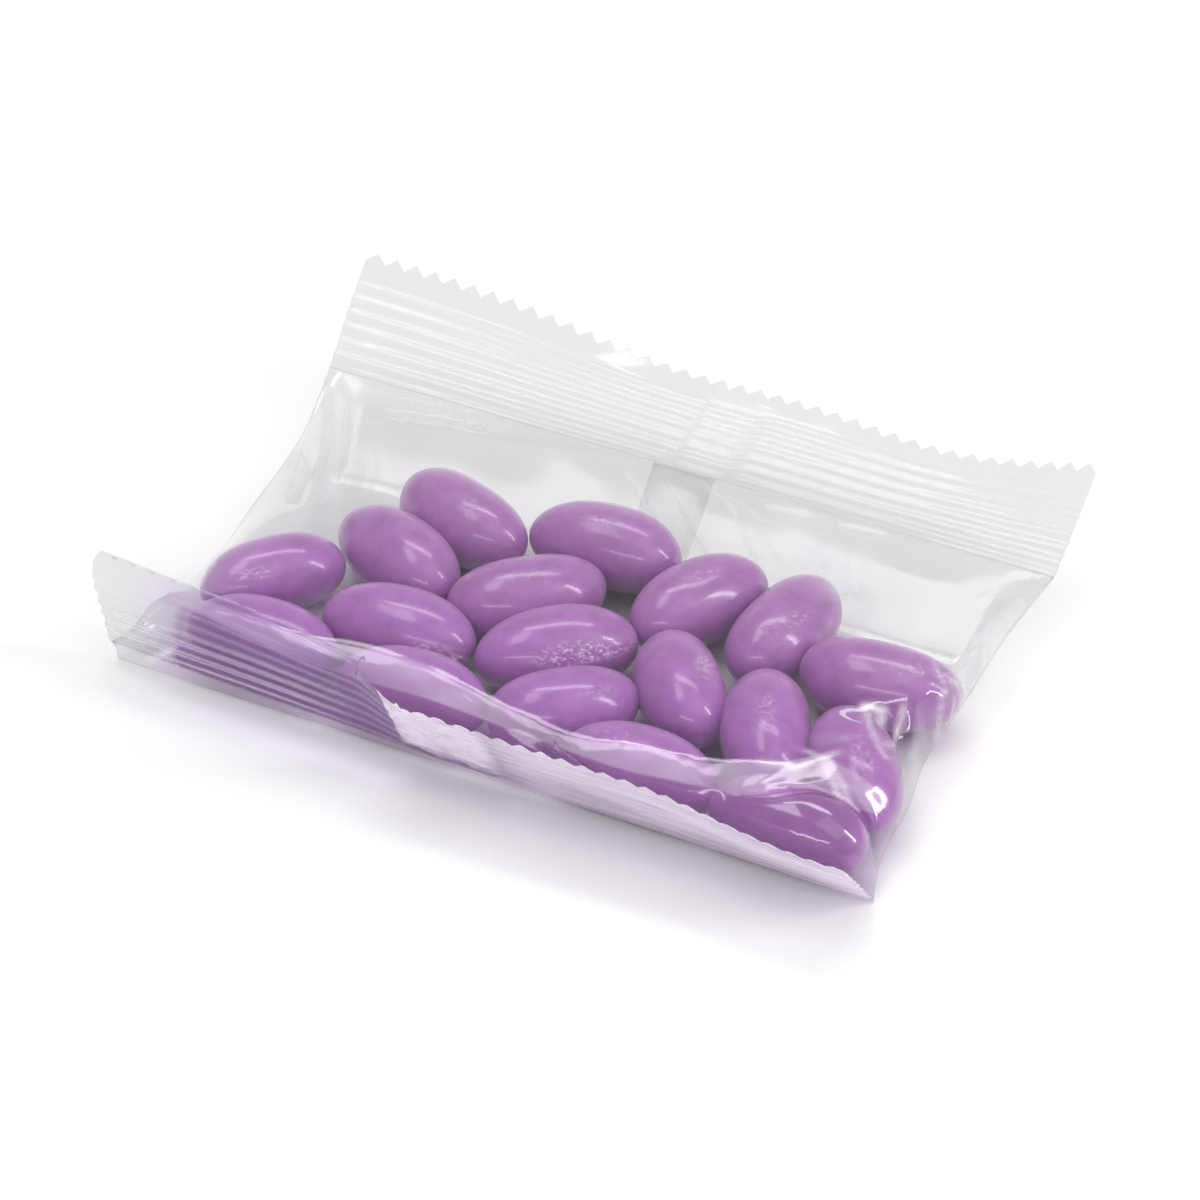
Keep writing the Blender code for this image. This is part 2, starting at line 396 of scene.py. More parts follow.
def segments(lines):
    """The straight stretches of all lines, each as its two ends."""
    return [(np.array(a), np.array(b)) for line in lines for a, b in zip(line, line[1:])]


def push_lines(P, free, lines, radius, up):
    """Keeps the film over (or under) round rods along the lines."""
    flat = P.reshape(-1, 3)
    for a, b in lines:
        low, high = np.minimum(a, b) - radius, np.maximum(a, b) + radius
        box = (flat[:, :2] > low[:2]).all(1) & (flat[:, :2] < high[:2]).all(1)
        near = np.nonzero(box & free)[0]
        points = flat[near]
        t = np.clip(((points - a)[:, :2] @ (b - a)[:2]) / ((b - a)[:2] ** 2).sum(), 0, 1)
        foot = a + t[:, None] * (b - a)
        side = points[:, :2] - foot[:, :2]
        reach = (side ** 2).sum(1)
        over = np.sqrt(np.clip(radius ** 2 - reach, 0, None))
        if up:
            target = foot[:, 2] - radius + over
            flat[near, 2] = np.where(reach < radius ** 2, np.maximum(points[:, 2], target), points[:, 2])
        else:
            target = foot[:, 2] + radius - over
            flat[near, 2] = np.where(reach < radius ** 2, np.minimum(points[:, 2], target), points[:, 2])


def side_at(line, y):
    """(x, z) of a long side's fold at y."""
    return through(line, y)


WALL_SHARE = 8 / 44        # part of the film's rows that make up the front wall
WALL_BULGE = (0, -1.6, 0.6)
CROWN = 11.6               # height of the film over the beans at the start
CROWN_SQUARENESS = 9       # how late the crown falls off to the sides
STRETCH = (0.95, 0.5)      # how hard a thread pulls back when too long, and pushes when too short
SHEAR = (0.3, 0.12)        # the same on the diagonals
WALL_GAP = 0.35            # between the near seal and the film's front wall
WALL_TOP = 13.0
TABLE_GAP = 0.4


def front_fold(columns):
    """The fold, evenly spread over the columns."""
    fold = np.array(FRONT_FOLD)
    run = np.concatenate([[0], np.cumsum(np.sqrt((np.diff(fold, axis=0) ** 2).sum(1)))])
    dense = through(np.column_stack([run, fold]), np.linspace(0, run[-1], 2000))
    return dense[np.searchsorted(dense[:, 0], np.linspace(dense[0, 0], dense[-1, 0], columns)).clip(0, 1999)]


def hold_border(P):
    """Puts the film's border and its front fold where the seals, sides and fold are."""
    rows, columns = P.shape[:2]
    x = np.linspace(-HALF, HALF, columns)
    fold_row = round((rows - 1) * WALL_SHARE)
    P[0], _ = near_seal_at(x, near_skirt(x))
    P[-1], _ = far_seal_at(x, 0 * x)
    P[fold_row] = front_fold(columns)
    for i, line in ((0, LEFT_SIDE), (-1, RIGHT_SIDE)):
        start = P[fold_row, i, 1]
        y = start + (DEPTH - start) * np.linspace(0, 1, rows - fold_row)
        side = side_at(line, y)
        P[fold_row:, i] = np.stack([side[:, 0], y, side[:, 1]], -1)
        share = np.linspace(0, 1, fold_row + 1)[:, None]
        P[:fold_row + 1, i] = P[0, i] + (P[fold_row, i] - P[0, i]) * share
    P[-1], _ = far_seal_at(x, 0 * x)
    return fold_row


def start_surface(rows, columns):
    """The top film before it settles: up the front wall to the fold, and back to the far seal."""
    P = np.zeros((rows, columns, 3))
    fold_row = hold_border(P)
    wall = np.linspace(0, 1, fold_row + 1)[:, None, None]
    bulge = np.sin(math.pi * wall) * np.array(WALL_BULGE)
    P[:fold_row + 1] = P[0] + (P[fold_row] - P[0]) * wall + bulge
    back = np.linspace(0, 1, rows - fold_row)[:, None, None]
    P[fold_row:] = P[fold_row] + (P[-1] - P[fold_row]) * back
    u = np.linspace(-1, 1, columns)
    level = CROWN + (FAR_HEIGHT - CROWN) * smooth(back[..., 0], FAR_FROM, 1)
    side = np.where(u < 0, P[fold_row:, :1, 2], P[fold_row:, -1:, 2])
    edge = np.sqrt(np.clip(1 - np.abs(u) ** CROWN_SQUARENESS, 0, 1))
    rise = smooth(back[..., 0], 0, 0.06)
    P[fold_row:, :, 2] += rise * (level * edge + side * (1 - edge) - P[fold_row:, :, 2])
    hold_border(P)
    return P


def stiffen(P, amount):
    """Evens out bends that are sharper than the film allows, and leaves wide shapes alone."""
    bend = np.zeros_like(P)
    bend[1:-1, 1:-1] = (P[:-2, 1:-1] + P[2:, 1:-1] + P[1:-1, :-2] + P[1:-1, 2:]) / 4 - P[1:-1, 1:-1]
    around = (bend[:-2, 1:-1] + bend[2:, 1:-1] + bend[1:-1, :-2] + bend[1:-1, 2:]) / 4
    P[1:-1, 1:-1] += amount * (bend[1:-1, 1:-1] - around)


def settle(P, rounds, cells, beans, pressure, stiffness, rod):
    """Relaxes the film: it hardly stretches, buckles easily and lies on beans and folds."""
    rows, columns = P.shape[:2]
    free = np.ones((rows, columns))
    free[0] = free[-1] = 0
    free[:, 0] = free[:, -1] = 0
    free[round((rows - 1) * WALL_SHARE)] = 0
    loose = free.ravel() > 0
    held_points = P[free == 0].copy()
    across, along = cells[..., 0], cells[..., 1]
    diagonal = np.sqrt(across ** 2 + along ** 2)
    rest = {"across": (across, *STRETCH), "along": (along, *STRETCH), "diagonal": (diagonal, *SHEAR)}
    sets = pairs((rows, columns))
    ridges, valleys = segments(RIDGES), segments(VALLEYS)
    for _ in range(rounds):
        for kind, a, b in sets:
            lengths, long_share, short_share = rest[kind]
            pull(P, free, a, b, lengths[a], long_share, short_share)
        stiffen(P, stiffness)
        P[..., 2] += pressure
        P[free == 0] = held_points
        push_lines(P, loose, valleys, rod + 0.15, False)
        push_lines(P, loose, ridges, rod, True)
        beans.push(P, loose)
        wall, _ = near_seal_at(P[..., 0], np.clip(P[..., 2] / np.sin(near_rise(P[..., 0])), 0, 20))
        held = (P[..., 1] < wall[..., 1] + WALL_GAP) & (free > 0) & (P[..., 2] < WALL_TOP)
        P[..., 1] = np.where(held, wall[..., 1] + WALL_GAP, P[..., 1])
        P[..., 2] = np.where(free > 0, np.maximum(P[..., 2], TABLE_GAP), P[..., 2])
    return P


def cell_lengths(P):
    """Length of each cell across and along, evened out with its neighbours."""
    cells = np.empty(P.shape[:2] + (2,))
    cells[:, :-1, 0] = np.sqrt((np.diff(P, axis=1) ** 2).sum(-1))
    cells[:, -1, 0] = cells[:, -2, 0]
    cells[:-1, :, 1] = np.sqrt((np.diff(P, axis=0) ** 2).sum(-1))
    cells[-1, :, 1] = cells[-2, :, 1]
    for _ in range(2):
        wide = np.pad(cells, ((1, 1), (1, 1), (0, 0)), mode="edge")
        cells = (wide[:-2, 1:-1] + wide[2:, 1:-1] + wide[1:-1, :-2] + wide[1:-1, 2:] + 2 * cells) / 6
    return cells


BEAN_ROOM = 0.3            # kept between the film and a bean
COARSE_GRID = (45, 65)
TIGHT_ROUNDS = 260
TIGHTNESS = 0.9            # rest lengths while the film is pulled tight
SLACK = 1.002              # and after it is let loose
PUCKER_SLACK = 0.012       # more across the bag next to the far seal
UNEVENNESS = 0.12
# For each finer grid: rounds, upward push, stiffness and the radius of the folds' rods.
LEVELS = ((80, 0.0008, 0.3, 0.9), (160, 0.0006, 0.2, 0.6), (150, 0.0004, 0.15, 0.35))


def top_film():
    """The top film: pulled tight over the beans and folds, then let loose a little, coarse to fine."""
    beans = Beans(BEAN_ROOM)
    P = start_surface(*COARSE_GRID)
    P = settle(P, TIGHT_ROUNDS, cell_lengths(P) * TIGHTNESS, beans, 0.0, 0.3, 1.0)
    cells = cell_lengths(P) * SLACK
    puckers = smooth(np.linspace(0, 1, len(P)), 0.84, 1.0)
    cells[..., 0] *= 1 + PUCKER_SLACK * puckers[:, None]
    P[1:-1, 1:-1, 2] += UNEVENNESS * noise(P[1:-1, 1:-1, :2], 3.2, 21)
    levels = LEVELS
    for level, (rounds, pressure, stiffness, rod) in enumerate(levels):
        if level:
            P = upsample(P)
            cells = upsample(cells) / 2
        hold_border(P)
        P = settle(P, rounds, cells, beans, pressure, stiffness, rod)
    return P


BOTTOM_GAP = 0.06          # height of the bottom film over the table
BOTTOM_SKIRT = 0.05        # part of its rows that stand up behind the near seal
SIDE_FROM = 0.88           # share of the half width where it starts to rise to the sides
BOTTOM_RIPPLE = 0.25


def far_slope(share):
    """0 on the table and 1 at the far seal, for a share of the bag's depth."""
    return np.clip((share - FAR_FROM) / (1 - FAR_FROM), 0, 1) ** 1.4


def bottom_film(top):
    """The film under the beans, with the same border as the top film."""
    rows, columns = top.shape[:2]
    u = np.linspace(-1, 1, columns)[None, :]
    w = np.linspace(0, 1, rows)[:, None]
    x0 = HALF * u + 0 * w
    skirt, _ = near_seal_at(x0, near_skirt(x0) * (1 - np.clip(w / BOTTOM_SKIRT, 0, 1)))
    back = (w - BOTTOM_SKIRT) / (1 - BOTTOM_SKIRT)
    y = np.where(w < BOTTOM_SKIRT, skirt[..., 1], 0.3 + (DEPTH - 0.3) * back)
    left, right = side_at(LEFT_SIDE, y), side_at(RIGHT_SIDE, y)
    x = left[..., 0] + (right[..., 0] - left[..., 0]) * (u + 1) / 2
    side_z = np.where(u < 0, left[..., 1], right[..., 1])
    lift = np.clip((np.abs(u) - SIDE_FROM) / (1 - SIDE_FROM), 0, 1) ** 1.7
    slope = far_slope(y / DEPTH)
    z = BOTTOM_GAP + (side_z - BOTTOM_GAP) * lift
    z = z + (FAR_HEIGHT - z) * slope
    ripple = BOTTOM_RIPPLE * noise(np.stack([x / 2.2, y], -1), 4.0, 5) * slope * (1 - slope) * 4
    z = np.where(w < BOTTOM_SKIRT, np.maximum(skirt[..., 2], BOTTOM_GAP), z + ripple)
    P = np.stack([x, y, z], -1)
    P[0], P[-1], P[:, 0], P[:, -1] = top[0], top[-1], top[:, 0], top[:, -1]
    return P


# Painted highlights where old creases catch the light, as pale lines in the top film, and a few soft pale
# patches of glare: strength, half width, and (x, y) points.
CREASE_HIGHLIGHTS = (
    (0.77, 0.45, ((39.5, 8.0), (44.0, 4.5), (47.5, 2.5))),
    (0.61, 0.45, ((40.0, 8.5), (45.0, 5.0), (48.0, 3.0))),
    (0.66, 0.45, ((39.5, 8.0), (37.5, 5.5), (32.5, 4.5))),
    (0.66, 0.45, ((36.5, 8.5), (39.5, 8.0), (41.5, 10.5))),
    (1.00, 0.69, ((39.5, 18.5), (41.5, 19.0), (43.5, 19.0))),
    (0.66, 0.45, ((40.0, 19.5), (44.0, 14.5), (46.5, 12.5))),
    (0.66, 0.45, ((44.5, 21.5), (45.0, 17.5), (44.5, 14.5))),
    (0.61, 0.45, ((50.0, 54.0), (48.5, 45.5), (47.0, 37.0), (47.5, 25.0))),
    (0.52, 0.56, ((50.0, 50.0), (49.0, 40.0), (49.0, 29.5))),
    (0.44, 0.45, ((-40.0, 48.5), (-32.5, 50.5), (-23.5, 52.0))),
    (0.38, 0.45, ((-38.0, 46.5), (-30.5, 48.5), (-22.0, 50.0))),
    (0.33, 0.45, ((-39.0, 52.5), (-29.0, 54.0))),
    (0.44, 0.50, ((-6.5, 51.5), (-2.0, 47.0), (2.5, 41.0))),
    (0.38, 0.45, ((-1.0, 52.0), (3.5, 47.5), (7.0, 42.5))),
    (0.44, 0.50, ((3.5, 53.0), (8.5, 50.5), (12.5, 46.0))),
    (0.38, 0.45, ((7.5, 52.5), (16.0, 47.0))),
    (0.78, 0.80, ((12.5, 52.0), (16.0, 52.5), (19.5, 53.0))),
    (0.78, 0.80, ((22.0, 53.0), (25.5, 53.5), (29.5, 54.0))),
    (0.39, 3.20, ((21.5, 48.0), (27.5, 42.0), (31.0, 35.5))),
    (0.42, 1.00, ((-47.5, 53.5), (-41.0, 40.5), (-33.5, 24.5))),
    (0.38, 0.45, ((-45.5, 52.5), (-39.0, 41.5), (-33.5, 29.0))),
    (0.50, 0.45, ((-48.0, 48.5), (-44.5, 37.5), (-41.0, 29.0))),
    (0.50, 0.45, ((44.0, 30.5), (47.5, 26.5), (48.0, 22.0))),
)
# Painted glare where the film clings to a bean and glitters: strength, (x, y), heading, half length, half
# width.
CLING_GLARES = (
    (0.75, (6.5, 13.5), 40, 8.0, 3.0),
    (0.60, (-35.5, 10.5), 40, 4.0, 2.0),
    (0.42, (26.0, 29.0), 65, 5.5, 2.0),
    (0.45, (30.5, 13.0), 110, 4.5, 2.0),
    (0.45, (21.0, 17.0), 128, 4.0, 2.0),
    (0.45, (-2.0, 37.5), 0, 4.5, 1.5),
    (0.45, (13.0, 32.5), 60, 4.5, 1.5),
    (0.40, (-5.5, 23.5), 35, 5.0, 1.5),
    (0.45, (43.5, 11.0), 120, 4.0, 2.0),
    (0.40, (-8.5, 6.0), 0, 5.0, 2.0),
    (0.35, (-18.0, 33.5), -30, 4.5, 1.5),
    (0.40, (17.0, 2.0), 0, 6.0, 1.5),
    (0.45, (43.0, 27.0), 10, 3.5, 2.0),
    (0.40, (11.5, 8.0), 40, 3.5, 2.0),
)


def crease_highlight_marks(x, y):
    """How strongly the painted crease highlights show: full along a line, fading beside it and at its ends.
    """
    total = np.zeros(x.shape)
    for strength, half, line in CREASE_HIGHLIGHTS:
        steps = [math.dist(a, b) for a, b in zip(line, line[1:])]
        done = 0.0
        for (ax, ay), (bx, by), step in zip(line, line[1:], steps):
            t = np.clip(((x - ax) * (bx - ax) + (y - ay) * (by - ay)) / step ** 2, 0, 1)
            gap = np.hypot(x - ax - t * (bx - ax), y - ay - t * (by - ay))
            run = (done + t * step) / sum(steps)
            taper = smooth(run, -0.05, 0.25) * (1 - smooth(run, 0.75, 1.05))
            total = np.maximum(total, strength * taper * np.exp(-(gap / half) ** 2))
            done += step
    return total


def cling_glare_marks(x, y):
    """1 in the middle of each painted glare where the film clings to a bean, 0 outside."""
    total = np.zeros(x.shape)
    for strength, (cx, cy), heading, long_half, short_half in CLING_GLARES:
        c, s = math.cos(math.radians(heading)), math.sin(math.radians(heading))
        along = ((x - cx) * c + (y - cy) * s) / long_half
        across = ((y - cy) * c - (x - cx) * s) / short_half
        total = np.maximum(total, strength * (1 - smooth(np.hypot(along, across), 0.35, 1)))
    return total


BEVEL_HIGHLIGHT_FROM = 7.5           # height from which the strip behind the front fold gets a painted highlight
BEVEL_HIGHLIGHT = 0.46
BEVEL_HIGHLIGHT_PATCHES = 0.16
HEM_HAZE = 0.62
PAINTED_SHADE_LOW = 0.9            # painted shade: dark purple on the front wall, low down, for the shaded beans and gaps behind it
PAINTED_SHADE_LESS = 0.45          # how much less of it there is higher up


def film_marks(points, rows, columns):
    """What the film's material reads at each point of the top film and then the bottom film."""
    x, y, z = points.T
    row = np.tile(np.repeat(np.arange(rows), columns), 2)
    fold_row = round((rows - 1) * WALL_SHARE)
    upper = np.arange(len(x)) < rows * columns
    lid = upper * (row >= fold_row)
    along = smooth(x, -42.3, -40.6) * (1 - smooth(x, 45.5, 48))
    # Painted shade on the front wall, strongest low down, for the shaded beans and gaps behind it.
    painted_shade = along * upper * (row <= fold_row) * (PAINTED_SHADE_LOW - PAINTED_SHADE_LESS * smooth(z, 3.5, 8.0))
    hem = (1 - smooth(z, near_skirt(x) * 0.8, near_skirt(x) + 0.4)) * (1 - smooth(y, 0.1, 0.5))
    crest = np.array(CREST)
    crest_y = np.interp(x, crest[:, 0], crest[:, 1])
    # Painted highlight on the bevel behind the front fold, standing in for the light it catches.
    bevel_highlight = (row >= fold_row) * (z > BEVEL_HIGHLIGHT_FROM) * (1 - smooth(y, crest_y - 0.2, crest_y + 0.5))
    bevel_highlight = bevel_highlight * (BEVEL_HIGHLIGHT + BEVEL_HIGHLIGHT_PATCHES * noise(np.stack([x * 0.5, y], -1), 2.5, 31))
    # The milky mark adds the painted bevel and crease highlights to the hem's milky haze.
    haze_and_highlight = np.clip(bevel_highlight + HEM_HAZE * hem + lid * crease_highlight_marks(x, y), 0, 1)
    return {"bounce_tint": bounce_lavender(points), "haze_and_highlight": haze_and_highlight, "painted_shade": painted_shade, "cling_glare": lid * cling_glare_marks(x, y)}


def make_film_body(material):
    """The bag between its seals: the top film and the bottom film, joined along their border."""
    top = top_film()
    bottom = bottom_film(top)
    rows, columns = top.shape[:2]
    points = np.concatenate([top.reshape(-1, 3), bottom.reshape(-1, 3)])
    faces = grid_faces(rows, columns) + grid_faces(rows, columns, rows * columns, flip=True)
    film = new_object("film", points, faces, material, film_marks(points, rows, columns))
    tidy_mesh(film)
    return film


# ---- the crimped seals -----------------------------------------------------------------
SEAL_ROWS = 90
COLUMNS_PER_TOOTH = 8
TEETH_FROM = 0.84          # share of the crimp's height where the surface starts to follow the teeth
SEAM_EDGE = 0.4            # how sharply the thick seam starts
SEAM_FADE = 1.5            # and how softly it ends
SEAM_SHIFT = 0.4           # shift of the ribs on the thick seam, in ribs
RIB_WANDER = 0.2           # wander of the ribs along the seal, in ribs
CRUMPLE = 0.05
SEAM_CRUMPLE = 0.22
CLOUD_CRUMPLE = 0.03
RIB_HIGHLIGHT_THINNESS = 9          # a high power keeps the painted highlight lines on the ribs thin
CLOUD_LEAST = 0.45
CLOUD_STREAKS = 0.42


def rib_profile(t):
    """Rounded ribs pressed by the jaws: t counts ribs."""
    wave = np.cos(2 * math.pi * t)
    return np.sign(wave) * np.abs(wave) ** 0.7


def tooth_reach(x):
    """Zigzag of the cut edge."""
    t = (x + HALF) / (2 * HALF) * TEETH
    return TOOTH_HEIGHT * (1 - np.abs(2 * (t - np.floor(t)) - 1))


def rib_heights(X, T, rise, inside, seed):
    """The ribs along a seal, shifted at the thick seam and fading at both borders."""
    count = rise / CRIMP_LENGTH * RIBS + SEAM_SHIFT * inside
    count = count + RIB_WANDER * noise(X[..., None], 26, seed)
    strength = smooth(T, 0.02, 0.07) * (1 - smooth(T, 0.80, 0.86))
    strength = strength * (0.85 + 0.2 * noise(np.stack([X / 12, T * 6], -1), 1.0, seed + 1))
    return rib_profile(count) * strength


def seal_crumple(X, T, s, inside, seed, seam_white, cloud):
    """Unevenness in mm: faint all over, strong on the thick seam and fine where the seal is cloudy."""
    crumple = CRUMPLE * noise(np.stack([X * 0.6, s], -1), 3.1, seed + 2)
    crumple += SEAM_CRUMPLE * inside * seam_white * noise(np.stack([X * 0.8, s * 2.2], -1), 1.2, seed + 3)
    crumple += CLOUD_CRUMPLE * cloud * noise(np.stack([X * 0.25, s * 3.0], -1), 1.0, seed + 6)
    return crumple * (0.25 + smooth(T, 0, 0.2))


def seal_haze_and_highlights(X, T, s, ribs, inside, seed, seam_white, cloud, rib_highlight):
    """How milky a seal is: cloudy stretches and the thick seam, plus painted highlights as thin pale lines on
    its ribs.
    """
    # Painted highlights: pale lines on the rib crests.
    lines = np.abs(ribs) ** RIB_HIGHLIGHT_THINNESS * rib_highlight
    streaks = 0.5 + 0.5 * noise(np.stack([X * 0.16, s * 2.6], -1), 1.0, seed + 4)
    patches = 0.85 + 0.35 * noise(np.stack([X, s], -1), 1.6, seed + 5)
    white = inside * seam_white * patches * smooth(T, 0.1, 0.3)
    return np.clip(lines + cloud * (CLOUD_LEAST + CLOUD_STREAKS * streaks) + white, 0, 1)


def seal_faces(rows, columns):
    """Quads of both layers, closed along the cut edge and at both ends."""
    total = rows * columns
    faces = grid_faces(rows, columns) + grid_faces(rows, columns, total, flip=True)
    for i in range(columns - 1):
        a = (rows - 1) * columns + i
        faces.append((a, a + 1, total + a + 1, total + a))
    for j in range(rows - 1):
        a = j * columns
        faces.append((a, a + columns, total + a + columns, total + a))
        b = a + columns - 1
        faces.append((b, total + b, total + b + columns, b + columns))
    return faces


def make_seal(name, place, skirt, material, seed, seam, seam_white, cloud_at, rib_highlight_at):
    """Two layers of film pressed together, with ribs along the seal and a toothed cut edge."""
    columns, rows = COLUMNS_PER_TOOTH * TEETH + 1, SEAL_ROWS
    X, T = np.meshgrid(np.linspace(-HALF, HALF, columns), np.linspace(0, 1, rows))
    foot = skirt(X)
    s = foot + T * CRIMP_LENGTH + smooth(T, TEETH_FROM, 1) * tooth_reach(X)
    point, normal = place(X, s)
    low, high = seam
    inside = smooth(X, low - SEAM_EDGE, low + SEAM_EDGE)
    inside = inside * (1 - smooth(X, high - SEAM_FADE, high + SEAM_FADE))
    cloud, rib_highlight = cloud_at(X, T), rib_highlight_at(X, T)
    ribs = rib_heights(X, T, s - foot, inside, seed)
    height = RIB_HEIGHT * ribs + seal_crumple(X, T, s, inside, seed, seam_white, cloud)
    inner = point + normal * (height + FILM)[..., None]
    outer = point + normal * (height - FILM)[..., None]
    inner[0] = outer[0] = point[0]
    points = np.concatenate([inner.reshape(-1, 3), outer.reshape(-1, 3)])
    # The milky mark holds real haze and the painted rib highlights.
    haze_and_highlight = seal_haze_and_highlights(X, T, s, ribs, inside, seed, seam_white, cloud, rib_highlight)
    seal = new_object(name, points, seal_faces(rows, columns), material,
                      {"haze_and_highlight": np.tile(haze_and_highlight.ravel(), 2), "bounce_tint": np.tile(bounce_lavender(point).ravel(), 2)})
    tidy_mesh(seal)
    return seal


def near_cloud(x, t):
    """Where the near seal is cloudy: towards the right, from the seam on."""
    return smooth(x, -2, 10) * (0.8 + 0.2 * smooth(t, 0, 1))


def far_cloud(x, t):
    """The far seal is nearly clear, a little less so at the right."""
    return 0.02 + 0.03 * smooth(x, 10, 50)


def near_rib_highlights(x, t):
    """How pale the painted highlight lines on the near seal's ribs are: palest at the lower left."""
    return 0.03 + 0.60 * (1 - smooth(t, 0.35, 0.6)) * (1 - smooth(x, -14, -8))


def far_rib_highlights(x, t):
    """The painted highlight lines on the far seal's ribs are faint all over."""
    return 0.1 + 0 * x


def bounce_lavender(points):
    """How much painted bounce light and shade from the beans tints the film lavender: near them at the front,
    not at the far side.
    """
    x, y, _ = np.moveaxis(points, -1, 0)
    right_side = smooth(x, 44, 47) * smooth(y, 6, 12)
    return (1 - smooth(y, 6, 30)) * smooth(x, -48, -39) * (1 - right_side)


BACK_SEAM_HALF = 4.2       # half its width
BACK_SEAM_THICK = 0.02
BACK_SEAM_HAZE = 0.02


def make_back_seam(material):
    """The lengthwise seam, pressed flat under the bag."""
    rows, columns = 60, 9
    V, U = np.meshgrid(np.linspace(0, 1, rows), np.linspace(-1, 1, columns), indexing="ij")
    y = 0.6 + (DEPTH - 0.6) * V
    x = 1.0 + BACK_SEAM_HALF * U + 0.8 * np.sin(V * 4.0)
    z = 0.03 + (FAR_HEIGHT - 0.15 - 0.03) * far_slope(V)
    points = np.stack([x, y, z], -1)
    points = np.concatenate([points.reshape(-1, 3), (points - [0, 0, BACK_SEAM_THICK]).reshape(-1, 3)])
    total = rows * columns
    faces = grid_faces(rows, columns) + grid_faces(rows, columns, total, flip=True)
    ring = list(range(columns - 1)) + [j * columns + columns - 1 for j in range(rows - 1)]
    ring += [total - 1 - i for i in range(columns - 1)] + [(rows - 1 - j) * columns for j in range(rows - 1)]
    for a, b in zip(ring, ring[1:] + ring[:1]):
        faces.append((a, b, total + b, total + a))
    # Painted bounce light and shade from the beans, as on the film.
    bounce_tint = bounce_lavender(points)
    marks = {"haze_and_highlight": BACK_SEAM_HAZE + 0 * bounce_tint, "bounce_tint": bounce_tint}
    seam = new_object("back_seam", points, faces, material, marks)
    tidy_mesh(seam)
    return seam


# ---- materials -------------------------------------------------------------------------
class Nodes:
    """Short calls to build a material's node tree."""

    def __init__(self, name):
        self.material = bpy.data.materials.new(name)
        self.material.use_nodes = True
        self.tree = self.material.node_tree
        self.tree.nodes.clear()

    def add(self, kind, **settings):
        node = self.tree.nodes.new(kind)
        for key, value in settings.items():
            if key.startswith("in_"):
                node.inputs[key[3:].replace("_", " ")].default_value = value
            else:
                setattr(node, key, value)
        return node

    def link(self, source, target):
        self.tree.links.new(source, target)

    def mix_shader(self, share, first, second):
        node = self.add("ShaderNodeMixShader")
        if isinstance(share, float):
            node.inputs[0].default_value = share
        else:
            self.link(share, node.inputs[0])
        self.link(first.outputs[0], node.inputs[1])
        self.link(second.outputs[0], node.inputs[2])
        return node

    def mix_colour(self, share, first, second):
        """A colour from first at 0 to second at 1, and on beyond it."""
        node = self.add("ShaderNodeMix", data_type="RGBA", clamp_factor=False)
        self.link(share, node.inputs[0])
        for socket, value in ((node.inputs[6], first), (node.inputs[7], second)):
            if isinstance(value, tuple):
                socket.default_value = value
            else:
                self.link(value, socket)
        return node.outputs[2]

    def maths(self, operation, a, b):
        node = self.add("ShaderNodeMath", operation=operation)
        for socket, value in zip(node.inputs, (a, b)):
            if isinstance(value, (int, float)):
                socket.default_value = value
            else:
                self.link(value, socket)
        return node.outputs[0]


FILM_CLEAR = (0.918, 0.920, 0.922, 1)
SEAL_CLEAR = (0.900, 0.902, 0.906, 1)
# The lavender colours are painted bounce light and shade from the purple beans.
FILM_BOUNCE_LAVENDER = (0.915, 0.895, 0.945, 1)
SEAL_BOUNCE_LAVENDER = (0.915, 0.885, 0.950, 1)
HAZE_WHITE = (0.97, 0.97, 0.98, 1)
HAZE_BOUNCE_LAVENDER = (0.97, 0.89, 1.0, 1)
# Painted shade: a dark purple diffuse sheet on the front wall, standing in for the shaded beans and gaps seen
# through it.
PAINTED_SHADE_PURPLE = (0.33, 0.135, 0.37, 1)
GLARE_SPECKLE_FROM = 0.46        # noise above this shows as a speck
GLARE_SPECKLE_CONTRAST = 5.0
EDGE_GLOSS = 0.85          # more gloss where the film is seen at a slant
EDGE_SHARPNESS = 4.0


def glare_speckle(n, coords):
    """Painted glints: fine pale specks where the film clings to a bean."""
    cling_glare = n.add("ShaderNodeAttribute", attribute_name="cling_glare")
    specks = n.add("ShaderNodeTexNoise", in_Scale=1500.0, in_Detail=4.0, in_Roughness=0.7)
    n.link(coords.outputs["Object"], specks.inputs["Vector"])
    grains = n.maths("MULTIPLY", n.maths("SUBTRACT", specks.outputs["Fac"], GLARE_SPECKLE_FROM), GLARE_SPECKLE_CONTRAST)
    grains = n.maths("MINIMUM", n.maths("MAXIMUM", grains, 0.0), 1.0)
    return n.maths("MULTIPLY", grains, cling_glare.outputs["Fac"])


def milky_film(n, bounce_tint, through_share):
    """White haze, lavender where bounce light from the beans is painted, that lets part of the light through.
    """
    colour = n.mix_colour(bounce_tint.outputs["Fac"], HAZE_WHITE, HAZE_BOUNCE_LAVENDER)
    front = n.add("ShaderNodeBsdfDiffuse")
    back = n.add("ShaderNodeBsdfTranslucent")
    n.link(colour, front.inputs["Color"])
    n.link(colour, back.inputs["Color"])
    return n.mix_shader(through_share, front, back)


